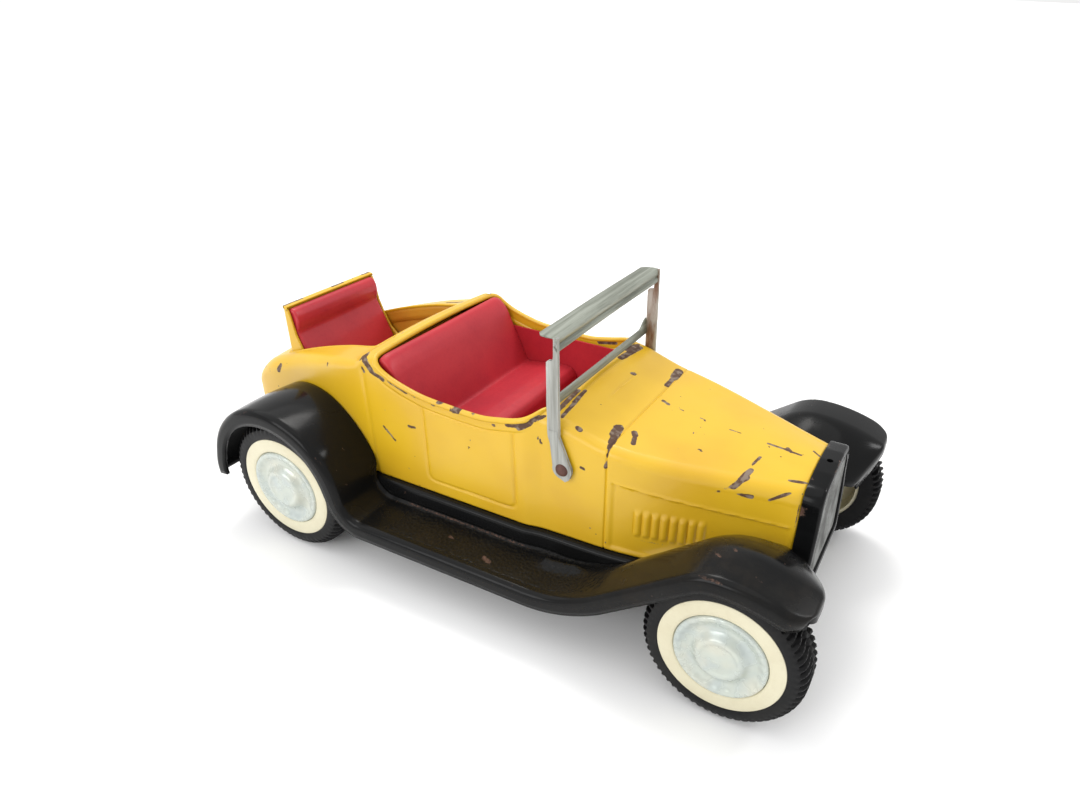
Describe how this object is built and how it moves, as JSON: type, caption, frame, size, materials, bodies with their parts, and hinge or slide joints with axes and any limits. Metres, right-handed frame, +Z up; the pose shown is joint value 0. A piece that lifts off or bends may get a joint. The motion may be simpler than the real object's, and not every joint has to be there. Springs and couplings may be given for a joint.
{
  "type": "friction toy car",
  "caption": "Open pressed-steel toy roadster with fold-down windshield, hinged rumble seat lid and a geared flywheel motor on the rear axle.",
  "frame": {"origin": "on the floor under the middle of the car's overall length and width", "axes": "+X towards the radiator, +Y towards the car's left side, +Z up"},
  "size_m": [0.255, 0.1248, 0.1078],
  "materials": {
    "body_paint": "gloss baked enamel, yellow, with chips",
    "black_enamel": "gloss black enamel, dusty and scuffed",
    "interior_red": "satin moulded red",
    "dull_plate": "dull worn plating",
    "rusty_steel": "brown rust",
    "plain_steel": "plain steel",
    "grille_plate": "pale satin plate",
    "tyre_rubber": "black lugged rubber",
    "wheel_white": "cream white",
    "hub_pearl": "pearl silver white",
    "gear_brass": "stamped brass",
    "flywheel_iron": "turned iron"
  },
  "bodies": {
    "chassis": {"body_shell": "body_paint", "chassis_frame": "black_enamel", "fender_left": "black_enamel", "fender_right": "black_enamel", "radiator_shell": "black_enamel", "radiator_grille": "grille_plate", "interior_tub": "interior_red", "front_seat": "interior_red", "rumble_tub": "body_paint", "windshield_rivets": "rusty_steel", "lid_pins": "rusty_steel", "front_axle": "plain_steel", "axle_washers": "plain_steel", "body_screws": "plain_steel", "motor_plate_left": "plain_steel", "motor_plate_right": "plain_steel", "motor_pillars": "plain_steel", "motor_rivets": "plain_steel"},
    "windshield": {"windshield_frame": "dull_plate"},
    "rumble_lid": {"rumble_lid": "body_paint", "rumble_pad": "interior_red"},
    "rear_wheels": {"rear_axle": "plain_steel", "drive_gear": "gear_brass", "tyre_rear_left": "tyre_rubber", "tyre_rear_right": "tyre_rubber", "wheel_rear_left": "wheel_white", "wheel_rear_right": "wheel_white", "hubcap_rear_left": "hub_pearl", "hubcap_rear_right": "hub_pearl"},
    "front_wheel_left": {"tyre_front_left": "tyre_rubber", "wheel_front_left": "wheel_white", "hubcap_front_left": "hub_pearl"},
    "front_wheel_right": {"tyre_front_right": "tyre_rubber", "wheel_front_right": "wheel_white", "hubcap_front_right": "hub_pearl"},
    "idler": {"idler_shaft": "plain_steel", "idler_pinion": "gear_brass", "idler_gear": "gear_brass"},
    "flywheel": {"flywheel_shaft": "plain_steel", "flywheel_pinion": "gear_brass", "flywheel": "flywheel_iron"}
  },
  "joints": [
    {"name": "rear_wheels_spin", "type": "hinge", "parent": "chassis", "child": "rear_wheels", "pos_m": [-0.0795, 0, 0.027], "axis": [0, 1, 0], "continuous": true},
    {"name": "front_wheel_left_spin", "type": "hinge", "parent": "chassis", "child": "front_wheel_left", "pos_m": [0.1005, 0, 0.027], "axis": [0, 1, 0], "continuous": true},
    {"name": "front_wheel_right_spin", "type": "hinge", "parent": "chassis", "child": "front_wheel_right", "pos_m": [0.1005, 0, 0.027], "axis": [0, 1, 0], "continuous": true},
    {"name": "idler_spin", "type": "hinge", "parent": "chassis", "child": "idler", "pos_m": [-0.06805, 0, 0.027], "axis": [0, 1, 0], "continuous": true},
    {"name": "flywheel_spin", "type": "hinge", "parent": "chassis", "child": "flywheel", "pos_m": [-0.05813, 0, 0.03273], "axis": [0, 1, 0], "continuous": true},
    {"name": "windshield_fold", "type": "hinge", "parent": "chassis", "child": "windshield", "pos_m": [0.0318, 0, 0.0589], "axis": [0, 1, 0], "range_deg": [0, 65]},
    {"name": "lid_fold", "type": "hinge", "parent": "chassis", "child": "rumble_lid", "pos_m": [-0.08706, 0, 0.04983], "axis": [0, 1, 0], "range_deg": [0, 75]}
  ],
  "couplings": [
    {"joint": "idler_spin", "follows": "rear_wheels_spin", "ratio": -3.75},
    {"joint": "flywheel_spin", "follows": "rear_wheels_spin", "ratio": 14.062}
  ]
}
